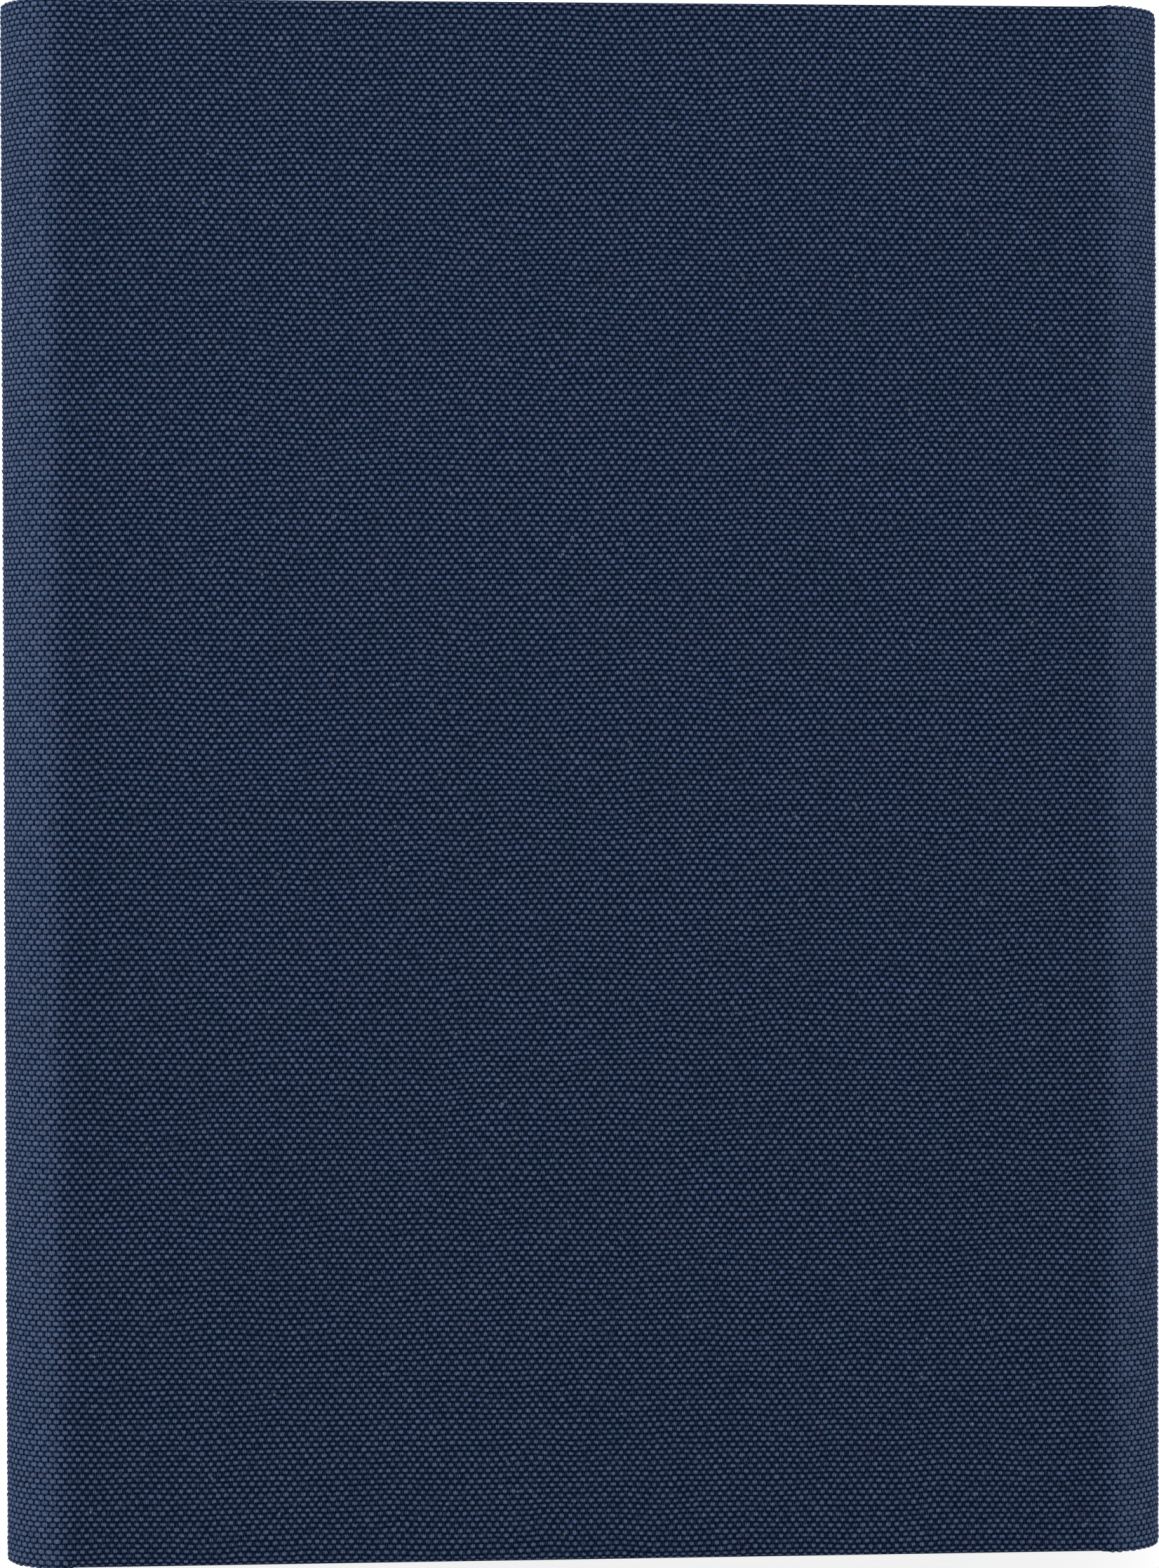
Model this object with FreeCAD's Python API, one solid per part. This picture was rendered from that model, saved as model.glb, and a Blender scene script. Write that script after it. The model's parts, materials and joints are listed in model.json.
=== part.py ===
"""Loose-leaf pilot logbook in a wrap-round cloth cover, closed and lying on its back cover.

+Z is up through the front cover, +Y runs along the spine to the head, and the spine is at -X.
The origin is the centre of the base. Sizes are in millimetres.
"""
import FreeCAD, Part
import math
import os

Vec = FreeCAD.Vector

# The book is sized from the inside out: leaves and rings first, then the cover round them.
leaf_width = 145.0
leaf_height = 210.0
leaf_end_gap = 15.0        # cover beyond the leaves at head and tail
leaf_lip_gap = 2.5         # leaf edge to the lip
edge_radius = 10.0         # outer radius of the cloth where it rolls round a long edge

# Cover panels: cloth outside, greyboard core, lining inside
cloth_thick = 0.5
board_thick = 2.2
lining_thick = 0.5
turn_in = 14.0             # cloth folded over the inner edge of a panel
flap_turn_in = 6.0         # at the free end of the narrow flap
panel_thick = cloth_thick + board_thick + lining_thick
hinge_thick = cloth_thick + lining_thick
hinge_gap = 0.3            # between a fold and the panel it swings

# Fore-edge flap and the lip it closes on
flap_base_gap = 1.5        # flap end above the table
lip_thick = 2.2
lip_cloth_thick = 0.4
lip_top = 20.0
lip_end_gap = 20.0         # cover beyond the lip at head and tail
lip_clearance = 1.0        # lip to the inside of the flap
magnet_radius = 5.0
magnet_thick = 1.8
magnet_height = 13.0       # centre above the table
magnet_places = (-70.0, 0.0, 70.0)
keeper_size = 12.0
keeper_thick = 0.6

# Ring mechanism
ring_radius = 11.4         # centre line of a closed ring
wire_radius = 1.2
ring_rise = 9.7            # ring centre above the housing's crown
ring_top_gap = 2.0         # closed ring to the front lining
ring_bend_angle = -35.0    # where the curve runs into the straight foot
ring_tip_gap = 0.1
ring_pitch = 19.0          # between the three rings of a group
ring_end_gap = 27.0        # last ring to the end of the housing
housing_half_width = 10.0
housing_setback = 5.0      # housing shorter than the leaves at each end
housing_rise = 5.3         # crown above the lining
housing_shoulder = 3.0     # straight side above the lining
housing_thick = 0.9
housing_lip_width = 1.8
housing_lip_thick = 0.8
blade_thick = 0.8
blade_side_gap = 0.3
blade_lip_gap = 0.6
blade_centre_gap = 0.15
slot_gap = 0.5             # round a ring where it passes the housing
rivet_end_gap = 12.0       # rivet to the end of the housing
rivet_radius = 2.0
rivet_head_radius = 3.6
rivet_head_rise = 0.5
rivet_head_depth = 0.6
rivet_flange_radius = 4.5
rivet_flange_thick = 0.6
rivet_gap = 0.6            # blades clear of the rivet

# Opening levers
lever_pivot_gap = 4.0      # pin beyond the end of the housing
lever_pivot_rise = 1.65    # pin above the lining
lever_width = 12.0
lever_hub_radius = 1.4
lever_toe_thick = 0.7
lever_toe_reach = 2.3
lever_arm_thick = 1.4
lever_arm_lean = 30.0      # degrees outward from upright
lever_arm_length = 11.0
pin_radius = 0.8
pin_clearance = 0.05
blade_end_gap = 0.3        # blade end to the lever hub
ear_reach = 2.6
ear_rise = 3.2

# Leaves
hole_margin = 6.5          # hole centre to the leaf's inner edge
hole_shift = 1.2           # hole centre outside the ring wire, so that the ring can open
leaf_hole_radius = 3.0
low_hole_radius = 2.7
leaf_rest_gap = 0.5        # lowest leaf above the housing
lower_leaves_thick = 3.6
middle_leaves_thick = 3.6
upper_leaves_thick = 4.4
divider_thick = 0.4
leaf_layer_gap = 0.2
upper_layer_gap = 0.6
leaf_lining_gap = 0.4
upper_leaves_sag = 2.7
sag_length = 45.0
tab_depth = 2.0
tab_length = 26.0
tab_places = (60.0, 20.0)

# Pockets inside the front cover
pocket_thick = 0.6
pocket_edge_gap = 4.0      # pocket to the fore-edge end of the panel
pocket_spine_gap = 35.0    # pocket to the spine end of the panel
pocket_tail_gap = 8.0
pocket_gap = 17.0          # between the two pockets
document_pocket_height = 110.0
licence_pocket_width = 106.0
licence_pocket_height = 60.0
window_thick = 0.3
window_margin = 6.0

# Places and overall sizes that follow from these
ring_centre_x = edge_radius + housing_half_width
housing_crown = panel_thick + housing_rise
ring_centre_z = housing_crown + ring_rise
leaf_reach = ring_centre_x + ring_radius + hole_shift - hole_margin + leaf_width
cover_width = leaf_reach + leaf_lip_gap + lip_thick + lip_clearance + panel_thick
cover_height = leaf_height + 2 * leaf_end_gap
cover_depth = ring_centre_z + ring_radius + wire_radius + ring_top_gap + panel_thick
half_height = cover_height / 2
front_inner = cover_depth - panel_thick
back_fore_edge = cover_width - panel_thick - lip_clearance
front_length = cover_width - 2 * edge_radius
side_length = cover_depth - 2 * edge_radius
flap_length = cover_depth - edge_radius - flap_base_gap
housing_half_length = leaf_height / 2 - housing_setback
rivet_place = housing_half_length - rivet_end_gap
last_ring = housing_half_length - ring_end_gap
head_rings = [last_ring - 2 * ring_pitch, last_ring - ring_pitch, last_ring]
ring_places = [-y for y in reversed(head_rings)] + head_rings
blade_bottom = panel_thick + housing_lip_thick + blade_lip_gap
blade_top = blade_bottom + blade_thick
blade_outer = housing_half_width - housing_thick - blade_side_gap
lever_pivot_y = housing_half_length + lever_pivot_gap
lever_pivot_z = panel_thick + lever_pivot_rise
blade_half_length = lever_pivot_y - lever_hub_radius - blade_end_gap

os.makedirs("parts", exist_ok=True)


def save(name, shape):
    """Write one node, moved so that the origin is under the middle of the cover."""
    moved = shape.copy()
    moved.translate(Vec(-cover_width / 2, 0, 0))
    moved.exportStep("parts/" + name + ".step")


def block(x0, x1, y0, y1, z0, z1):
    return Part.makeBox(x1 - x0, y1 - y0, z1 - z0, Vec(x0, y0, z0))


def along_y(points, y0, y1):
    """A prism whose section is drawn in X and Z."""
    outline = [Vec(x, y0, z) for x, z in points]
    face = Part.Face(Part.makePolygon(outline + outline[:1]))
    return face.extrude(Vec(0, y1 - y0, 0))


def upright(radius, x, y, z0, z1):
    return Part.makeCylinder(radius, z1 - z0, Vec(x, y, z0))


def mirror_x(shape):
    """The same piece on the spine side of the ring centre."""
    return shape.mirror(Vec(ring_centre_x, 0, 0), Vec(1, 0, 0))


def mirror_y(shape):
    return shape.mirror(Vec(0, 0, 0), Vec(0, 1, 0))


# Cover panels. Each is built lying face down, from x = 0 to its length, and then turned into place.

def panel_pieces(length, start_turn_in=0.0, end_turn_in=0.0):
    """Cloth with its turn-ins, the board inside it, and the lining between the turn-ins."""
    board_start = cloth_thick if start_turn_in else 0.0
    board_end = length - (cloth_thick if end_turn_in else 0.0)
    board_half = half_height - cloth_thick
    lining_half = half_height - turn_in
    level = cloth_thick + board_thick
    board = block(board_start, board_end, -board_half, board_half, cloth_thick, level)
    lining = block(start_turn_in, length - end_turn_in, -lining_half, lining_half, level, panel_thick)
    outside = block(0, length, -half_height, half_height, 0, panel_thick)
    return outside.cut(board).cut(lining), board, lining


def stand(pieces, degrees, x, z):
    """Turn a lying panel's pieces about Y and move them to their place."""
    for piece in pieces:
        piece.rotate(Vec(0, 0, 0), Vec(0, 1, 0), degrees)
        piece.translate(Vec(x, 0, z))
    return pieces


back_cloth, back_board, back_lining = stand(
    panel_pieces(back_fore_edge - edge_radius, end_turn_in=turn_in), 0, edge_radius, 0)
spine_cloth, spine_board, spine_lining = stand(
    panel_pieces(side_length), 90, 0, cover_depth - edge_radius)
front_cloth, front_board, front_lining = stand(
    panel_pieces(front_length), 180, cover_width - edge_radius, cover_depth)
flap_cloth, flap_board, flap_lining = stand(
    panel_pieces(flap_length, start_turn_in=flap_turn_in), -90, cover_width, flap_base_gap)


def fold_strip(centre_x, centre_z, first_degrees, trim):
    """A quarter round of cloth and lining between two panels, trimmed clear of the one that swings."""
    inner_radius = edge_radius - hinge_thick
    axis = Vec(0, 1, 0)
    base = Vec(centre_x, -half_height, centre_z)
    tube = Part.makeCylinder(edge_radius, cover_height, base, axis)
    tube = tube.cut(Part.makeCylinder(inner_radius, cover_height, base, axis))
    turn = math.radians(first_degrees)
    side_x = math.cos(turn) - math.sin(turn)
    side_z = math.sin(turn) + math.cos(turn)
    x0, x1 = sorted((centre_x, centre_x + side_x * edge_radius))
    z0, z1 = sorted((centre_z, centre_z + side_z * edge_radius))
    return tube.common(block(x0, x1, -half_height, half_height, z0, z1)).cut(trim)


def side_gap(x, z):
    """The clear slit between a fold and the end of a standing panel, at height z."""
    return block(x - edge_radius, x + edge_radius, -half_height, half_height, z - hinge_gap, z + hinge_gap)


rear_hinge_cloth = fold_strip(
    edge_radius, edge_radius, 180, side_gap(0, edge_radius))
front_hinge_cloth = fold_strip(
    edge_radius, cover_depth - edge_radius, 90, side_gap(0, cover_depth - edge_radius))
flap_hinge_cloth = fold_strip(
    cover_width - edge_radius, cover_depth - edge_radius, 0,
    side_gap(cover_width, cover_depth - edge_radius))

# Closure: magnets in the flap's board meet steel keepers in the upright lip.
lip_outer = back_fore_edge
lip_inner = lip_outer - lip_thick
lip_half = half_height - lip_end_gap
lip_board = block(lip_inner + lip_cloth_thick, lip_outer - lip_cloth_thick,
                  -lip_half + lip_cloth_thick, lip_half - lip_cloth_thick,
                  panel_thick, lip_top - lip_cloth_thick)
lip_cloth = block(lip_inner, lip_outer, -lip_half, lip_half, panel_thick, lip_top).cut(lip_board)
magnet_x = cover_width - cloth_thick - board_thick
magnets = []
keepers = []
for y in magnet_places:
    magnets.append(Part.makeCylinder(magnet_radius, magnet_thick, Vec(magnet_x, y, magnet_height),
                                     Vec(1, 0, 0)))
    keepers.append(block(lip_outer - lip_cloth_thick - keeper_thick, lip_outer - lip_cloth_thick,
                         y - keeper_size / 2, y + keeper_size / 2,
                         magnet_height - keeper_size / 2, magnet_height + keeper_size / 2))
flap_magnets = Part.makeCompound(magnets)
lip_keepers = Part.makeCompound(keepers)
flap_board = flap_board.cut(flap_magnets)
lip_board = lip_board.cut(lip_keepers)

# Ring mechanism. The right-hand half is drawn, and the left-hand half is its mirror image.
bend = math.radians(ring_bend_angle)
bend_x = ring_radius * math.cos(bend)
bend_z = ring_centre_z + ring_radius * math.sin(bend)
foot_slope = -math.tan(bend)       # sideways run for each unit of drop


def wire_offset(z):
    """Distance of the ring's centre line from the ring centre, at height z on the right."""
    if z < bend_z:
        return bend_x - (bend_z - z) * foot_slope
    return math.sqrt(ring_radius ** 2 - (z - ring_centre_z) ** 2)


def half_ring(y):
    """One right-hand half ring, from its tip at the top to its foot on the blade."""
    top = Vec(ring_centre_x, y, ring_centre_z + ring_radius)
    section = Part.Face(Part.Wire(Part.makeCircle(wire_radius, top, Vec(1, 0, 0))))
    curve = section.revolve(Vec(ring_centre_x, y, ring_centre_z), Vec(0, 1, 0), 90 - ring_bend_angle)
    run = Vec(-foot_slope, 0, -1).normalize()
    foot = Part.makeCylinder(wire_radius, bend_z, Vec(ring_centre_x + bend_x, y, bend_z), run)
    ring = curve.fuse(foot).removeSplitter()
    reach = ring_radius + wire_radius + 1
    keep = block(ring_centre_x + ring_tip_gap, ring_centre_x + reach, y - reach, y + reach,
                 blade_top, ring_centre_z + reach)
    return ring.common(keep).Solids[0]


def housing():
    """The arched cover plate, with a slot for every half ring and ears for the lever pins."""
    base = panel_thick
    half = housing_half_width
    inner = half - housing_thick
    lip = half - housing_lip_width
    shoulder = base + housing_shoulder
    lip_level = base + housing_lip_thick
    x = ring_centre_x
    y = -housing_half_length

    rise = housing_crown - shoulder
    arch_radius = (half ** 2 + rise ** 2) / (2 * rise)

    def arch_z(offset, crown_z):
        radius = arch_radius - (housing_crown - crown_z)
        return crown_z - radius + math.sqrt(radius ** 2 - offset ** 2)

    def point(offset, z):
        return Vec(x + offset, y, z)

    def arch(width, crown_z):
        return Part.Arc(point(-width, arch_z(width, crown_z)), point(0, crown_z),
                        point(width, arch_z(width, crown_z))).toShape()

    def line(*points):
        return [Part.makeLine(point(*a), point(*b)) for a, b in zip(points, points[1:])]

    inner_crown = housing_crown - housing_thick
    inner_shoulder = arch_z(inner, inner_crown)
    edges = [arch(half, housing_crown)]
    edges += line((half, shoulder), (half, base), (lip, base), (lip, lip_level), (inner, lip_level),
                  (inner, inner_shoulder))
    edges += [arch(inner, inner_crown)]
    edges += line((-inner, inner_shoulder), (-inner, lip_level), (-lip, lip_level), (-lip, base),
                  (-half, base), (-half, shoulder))
    outline = Part.Wire(Part.__sortEdges__(edges))
    plate = Part.Face(outline).extrude(Vec(0, 2 * housing_half_length, 0))
    for place in ring_places:
        low = wire_offset(inner_shoulder) - wire_radius - slot_gap
        high = wire_offset(housing_crown) + wire_radius
        slot = block(x + low, x + high, place - wire_radius - slot_gap, place + wire_radius + slot_gap,
                     blade_top, housing_crown + 1)
        plate = plate.cut(slot).cut(mirror_x(slot))
    for side in (-half, inner):
        ear = block(x + side, x + side + housing_thick, housing_half_length - 1,
                    lever_pivot_y + ear_reach, base, base + ear_rise)
        plate = plate.fuse(ear).fuse(mirror_y(ear))
    return plate.removeSplitter()


def rivet(y):
    """Domed head on the housing, shank through lining and board, flange under the board."""
    x = ring_centre_x
    head_low = housing_crown - rivet_head_depth
    head = upright(rivet_head_radius, x, y, head_low, housing_crown + rivet_head_rise)
    head = head.makeFillet(rivet_head_rise, [e for e in head.Edges if e.BoundBox.ZMin > head_low + 0.1
                                             and e.BoundBox.XLength > rivet_head_radius])
    shank = upright(rivet_radius, x, y, cloth_thick, head_low)
    flange = upright(rivet_flange_radius, x, y, cloth_thick, cloth_thick + rivet_flange_thick)
    return head.fuse(shank).fuse(flange).removeSplitter()


rivets = Part.makeCompound([rivet(-rivet_place), rivet(rivet_place)])
ring_housing = housing().cut(rivets)
back_board = back_board.cut(rivets)
back_lining = back_lining.cut(rivets)

right_blade = block(ring_centre_x + blade_centre_gap, ring_centre_x + blade_outer,
                    -blade_half_length, blade_half_length, blade_bottom, blade_top)
for y in (-rivet_place, rivet_place):
    notch = upright(rivet_radius + rivet_gap, ring_centre_x, y, blade_bottom - 1, blade_top + 1)
    right_blade = right_blade.cut(notch)
left_blade = mirror_x(right_blade)
right_half_rings = Part.makeCompound([half_ring(y) for y in ring_places])
left_half_rings = mirror_x(right_half_rings)

# Levers. The head lever is drawn, and the tail lever is its mirror image.

def lever():
    """A pin hub, a toe under the blade ends and a leaning thumb arm."""
    x0 = ring_centre_x - lever_width / 2
    x1 = ring_centre_x + lever_width / 2
    py, pz = lever_pivot_y, lever_pivot_z
    hub = Part.makeCylinder(lever_hub_radius, lever_width, Vec(x0, py, pz), Vec(1, 0, 0))
    toe_bottom = pz - lever_hub_radius
    toe = block(x0 + lever_width / 6, x1 - lever_width / 6, py - lever_toe_reach, py, toe_bottom,
                toe_bottom + lever_toe_thick)
    arm = block(x0, x1, py - lever_arm_thick / 2, py + lever_arm_thick / 2, pz, pz + lever_arm_length)
    tip_edges = [e for e in arm.Edges
                 if e.BoundBox.ZMin > pz + lever_arm_length - 0.1 and e.BoundBox.XLength < 0.1]
    arm = arm.makeFillet(lever_width / 4, tip_edges)
    arm.rotate(Vec(0, py, pz), Vec(1, 0, 0), -lever_arm_lean)
    bore = Part.makeCylinder(pin_radius + pin_clearance, lever_width + 2, Vec(x0 - 1, py, pz),
                             Vec(1, 0, 0))
    return hub.fuse(toe).fuse(arm).cut(bore).removeSplitter()


def lever_pin():
    return Part.makeCylinder(pin_radius, 2 * housing_half_width,
                             Vec(ring_centre_x - housing_half_width, lever_pivot_y, lever_pivot_z),
                             Vec(1, 0, 0))


head_lever = lever()
tail_lever = mirror_y(head_lever)
lever_pins = Part.makeCompound([lever_pin(), mirror_y(lever_pin())])
ring_housing = ring_housing.cut(lever_pins)

# Leaves. Each layer's edge and holes step sideways with height, as they follow the ring wire.

def leaf_start(z):
    """Inner edge of a leaf that lies at height z on the rings."""
    return ring_centre_x + wire_offset(z) + hole_shift - hole_margin


def leaf_layer(z, thick, sag, width=leaf_width):
    """A layer resting at height z by the rings and lower by its sag beyond them."""
    start, start_top = leaf_start(z), leaf_start(z + thick)
    flat_to = ring_centre_x + housing_half_width + 1
    section = [(start, z), (flat_to, z), (flat_to + sag_length, z - sag), (start + width, z - sag),
               (start_top + width, z + thick - sag), (flat_to + sag_length, z + thick - sag),
               (flat_to, z + thick), (start_top, z + thick)]
    return along_y(section, -leaf_height / 2, leaf_height / 2)


def leaning_holes(z, thick, radius):
    """Straight hole cutters that lean with the ring wire, for the layers below its middle."""
    reach = 1.5 * radius
    cutters = []
    for y in ring_places:
        low = Vec(leaf_start(z) + hole_margin, y, z)
        high = Vec(leaf_start(z + thick) + hole_margin, y, z + thick)
        run = (high - low).normalize()
        cutters.append(Part.makeCylinder(radius, (high - low).Length + 2 * reach, low - run * reach, run))
    return Part.makeCompound(cutters)


def round_holes():
    """Hole cutters that follow the ring's circle, so that a layer can turn right round it."""
    return Part.makeCompound([
        Part.makeTorus(ring_radius + hole_shift, leaf_hole_radius, Vec(ring_centre_x, y, ring_centre_z),
                       Vec(0, 1, 0))
        for y in ring_places
    ])


low_z = housing_crown + leaf_rest_gap
low_sag = low_z - panel_thick - leaf_lining_gap
divider_a_z = low_z + lower_leaves_thick + leaf_layer_gap
middle_z = divider_a_z + divider_thick + leaf_layer_gap
divider_b_z = middle_z + middle_leaves_thick + leaf_layer_gap
upper_z = divider_b_z + divider_thick + upper_layer_gap


def lower_layer(z, thick, radius):
    return leaf_layer(z, thick, low_sag).cut(leaning_holes(z, thick, radius))


def divider(z, tab_y, radius):
    """A stiff divider with an index tab that stands out at the fore-edge."""
    end = leaf_start(z) + leaf_width
    tab = block(end - tab_depth, end + tab_depth, tab_y - tab_length / 2, tab_y + tab_length / 2,
                z - low_sag, z - low_sag + divider_thick)
    return lower_layer(z, divider_thick, radius).fuse(tab).removeSplitter()


lower_log_sheets = lower_layer(low_z, lower_leaves_thick, low_hole_radius)
section_divider_a = divider(divider_a_z, tab_places[0], low_hole_radius)
middle_log_sheets = lower_layer(middle_z, middle_leaves_thick, leaf_hole_radius)
section_divider_b = divider(divider_b_z, tab_places[1], leaf_hole_radius)
upper_log_sheets = leaf_layer(upper_z, upper_leaves_thick, upper_leaves_sag).cut(round_holes())

# Pockets on the lining of the front cover
pocket_end = cover_width - edge_radius - pocket_edge_gap
pocket_start = edge_radius + pocket_spine_gap
pocket_face = front_inner - pocket_thick
document_base = -half_height + pocket_tail_gap
document_top = document_base + document_pocket_height
document_pocket = block(pocket_start, pocket_end, document_base, document_top, pocket_face, front_inner)
licence_start = pocket_end - licence_pocket_width
licence_base = document_top + pocket_gap
licence_top = licence_base + licence_pocket_height
licence_pocket = block(licence_start, pocket_end, licence_base, licence_top, pocket_face, front_inner)
licence_window = block(licence_start + window_margin, pocket_end - window_margin,
                       licence_base + window_margin, licence_top - window_margin,
                       pocket_face - window_thick, pocket_face)

nodes = {
    "back_cloth": back_cloth, "back_board": back_board, "back_lining": back_lining,
    "lip_board": lip_board, "lip_cloth": lip_cloth, "lip_keepers": lip_keepers,
    "ring_housing": ring_housing, "housing_rivets": rivets, "lever_pins": lever_pins,
    "left_blade": left_blade, "left_half_rings": left_half_rings,
    "right_blade": right_blade, "right_half_rings": right_half_rings,
    "head_lever": head_lever, "tail_lever": tail_lever,
    "lower_log_sheets": lower_log_sheets, "section_divider_a": section_divider_a,
    "middle_log_sheets": middle_log_sheets, "section_divider_b": section_divider_b,
    "upper_log_sheets": upper_log_sheets,
    "rear_hinge_cloth": rear_hinge_cloth, "spine_cloth": spine_cloth, "spine_board": spine_board,
    "spine_lining": spine_lining, "front_hinge_cloth": front_hinge_cloth,
    "front_cloth": front_cloth, "front_board": front_board, "front_lining": front_lining,
    "document_pocket": document_pocket, "licence_pocket": licence_pocket,
    "licence_window": licence_window, "flap_hinge_cloth": flap_hinge_cloth,
    "flap_cloth": flap_cloth, "flap_board": flap_board, "flap_lining": flap_lining,
    "flap_magnets": flap_magnets,
}
for name, shape in nodes.items():
    save(name, shape)
    print(name, len(shape.Solids), "solids", round(shape.Volume), "mm3", "ok" if shape.isValid() else "BAD")
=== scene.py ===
import json
import math
import random

import bmesh
import bpy
from mathutils import Matrix, Vector


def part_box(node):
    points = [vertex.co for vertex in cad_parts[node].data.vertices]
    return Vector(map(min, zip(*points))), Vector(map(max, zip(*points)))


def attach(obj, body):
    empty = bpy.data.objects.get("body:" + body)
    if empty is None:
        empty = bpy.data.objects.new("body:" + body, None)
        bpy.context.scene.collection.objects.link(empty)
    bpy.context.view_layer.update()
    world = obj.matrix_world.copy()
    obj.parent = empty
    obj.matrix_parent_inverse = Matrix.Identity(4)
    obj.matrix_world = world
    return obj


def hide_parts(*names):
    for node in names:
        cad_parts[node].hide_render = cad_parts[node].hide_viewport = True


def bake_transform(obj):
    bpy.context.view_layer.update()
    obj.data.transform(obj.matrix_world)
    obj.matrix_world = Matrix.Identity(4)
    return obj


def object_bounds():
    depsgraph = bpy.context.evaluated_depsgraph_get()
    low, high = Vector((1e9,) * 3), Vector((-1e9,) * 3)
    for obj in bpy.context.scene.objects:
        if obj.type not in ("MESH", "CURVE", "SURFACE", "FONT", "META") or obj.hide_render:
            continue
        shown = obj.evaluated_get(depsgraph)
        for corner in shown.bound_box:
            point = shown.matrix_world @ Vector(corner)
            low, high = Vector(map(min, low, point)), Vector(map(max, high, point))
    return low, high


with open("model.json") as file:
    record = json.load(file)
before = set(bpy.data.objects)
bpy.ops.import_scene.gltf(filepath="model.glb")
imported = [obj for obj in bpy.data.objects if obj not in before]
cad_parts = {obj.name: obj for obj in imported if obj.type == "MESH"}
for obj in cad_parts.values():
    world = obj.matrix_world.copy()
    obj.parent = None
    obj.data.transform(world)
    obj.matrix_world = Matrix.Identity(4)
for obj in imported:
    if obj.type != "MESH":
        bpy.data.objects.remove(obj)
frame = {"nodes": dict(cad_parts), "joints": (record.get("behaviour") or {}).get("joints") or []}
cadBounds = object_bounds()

mm = 0.001
tiny = 1e-6                    # metres: points nearer than this are at the same place


# Shader maths: a Wire is one socket, and an expression on wires adds its Math nodes.

class Wire:
    def __init__(self, finish, socket):
        self.finish = finish
        self.socket = socket

    def math(self, operation, *others, clamp=False):
        values = dict(enumerate((self,) + others))
        return self.finish.node("Math", {"operation": operation, "use_clamp": clamp}, values)

    def at(self, name):
        return Wire(self.finish, self.socket.node.outputs[name])

    def __add__(self, other):
        return self.math("ADD", other)

    def __radd__(self, other):
        return self.math("ADD", other)

    def __sub__(self, other):
        return self.math("SUBTRACT", other)

    def __rsub__(self, other):
        return self.finish.node("Math", {"operation": "SUBTRACT"}, {0: other, 1: self})

    def __mul__(self, other):
        return self.math("MULTIPLY", other)

    def __rmul__(self, other):
        return self.math("MULTIPLY", other)

    def __truediv__(self, other):
        return self.math("DIVIDE", other)

    def __pow__(self, other):
        return self.math("POWER", other)

    def __abs__(self):
        return self.math("ABSOLUTE")

    def __gt__(self, other):
        return self.math("GREATER_THAN", other)

    def __lt__(self, other):
        return self.math("LESS_THAN", other)

    def cosine(self):
        return self.math("COSINE")

    def nearest(self):
        return self.math("ROUND")

    def atLeast(self, low):
        return self.math("MAXIMUM", low)

    def fraction(self):
        return self.math("FRACT")

    def ramp(self, low, high, fromValue=0.0, toValue=1.0):
        # a smooth step from low to high
        return self.finish.node("MapRange", {"interpolation_type": "SMOOTHSTEP"},
                                {0: self, 1: low, 2: high, 3: fromValue, 4: toValue})


class Finish:
    def __init__(self, name, **constants):
        self.material = bpy.data.materials.new(name)
        self.material.use_nodes = True
        self.tree = self.material.node_tree
        self.shader = self.tree.nodes["Principled BSDF"]
        for label, value in constants.items():
            self.shader.inputs[label.replace("_", " ")].default_value = value

    def node(self, kind, settings=None, sockets=None, output=0):
        made = self.tree.nodes.new("ShaderNode" + kind)
        for key, value in (settings or {}).items():
            setattr(made, key, value)
        for key, value in (sockets or {}).items():
            if isinstance(value, Wire):
                self.tree.links.new(value.socket, made.inputs[key])
            else:
                made.inputs[key].default_value = value
        return Wire(self, made.outputs[output])

    def place(self):
        return self.node("TexCoord").at("Object")

    def own(self, mapName):
        return self.node("UVMap", {"uv_map": mapName})

    def split(self, vector):
        parts = self.node("SeparateXYZ", sockets={0: vector})
        return parts.at("X"), parts.at("Y"), parts.at("Z")

    def join(self, x, y, z=0.0):
        return self.node("CombineXYZ", sockets={0: x, 1: y, 2: z})

    def noise(self, vector, scale, detail=2.0, rough=0.5):
        settings = {"Vector": vector, "Scale": scale, "Detail": detail, "Roughness": rough}
        return self.node("TexNoise", sockets=settings)

    def mix(self, share, first, second):
        return self.node("Mix", {"data_type": "RGBA"}, {0: share, 6: first, 7: second}, 2)

    def wear(self, **values):
        for label, value in values.items():
            self.tree.links.new(value.socket, self.shader.inputs[label.replace("_", " ")])

    def bump(self, height, distance, strength=1.0):
        normal = self.node("Bump", sockets={"Height": height, "Distance": distance, "Strength": strength})
        self.wear(Normal=normal)


def rgb(red, green, blue):
    return (red, green, blue, 1.0)


# The cover's cloth is one strip: back, rear fold, spine, front fold, front, flap fold, flap.
# Its own map counts millimetres along that strip from the back panel's fore-edge, and along the spine.

coverSize = {
    "clothThick": 0.5 * mm,
    "edgeRound": 1.1 * mm,
    "turnIn": 14.0 * mm,
    "flapTurnIn": 6.0 * mm,
    "endDrape": 0.06 * mm,     # how far the turned cloth stands off the end of a board
    "foldColumns": 3,          # mesh columns and rows for each yarn on the folds
    "foldFade": 12,            # the yarns sink into the panel's face over 1/12 of a fold
    "crownHeight": 0.26 * mm,
    "crownUneven": 0.45,
    "crownDome": 0.8,          # 1 brings a crown's rim down to the cloth
    "mapShift": 60.0,          # where the lip's piece of cloth lies on the map
}

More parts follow.
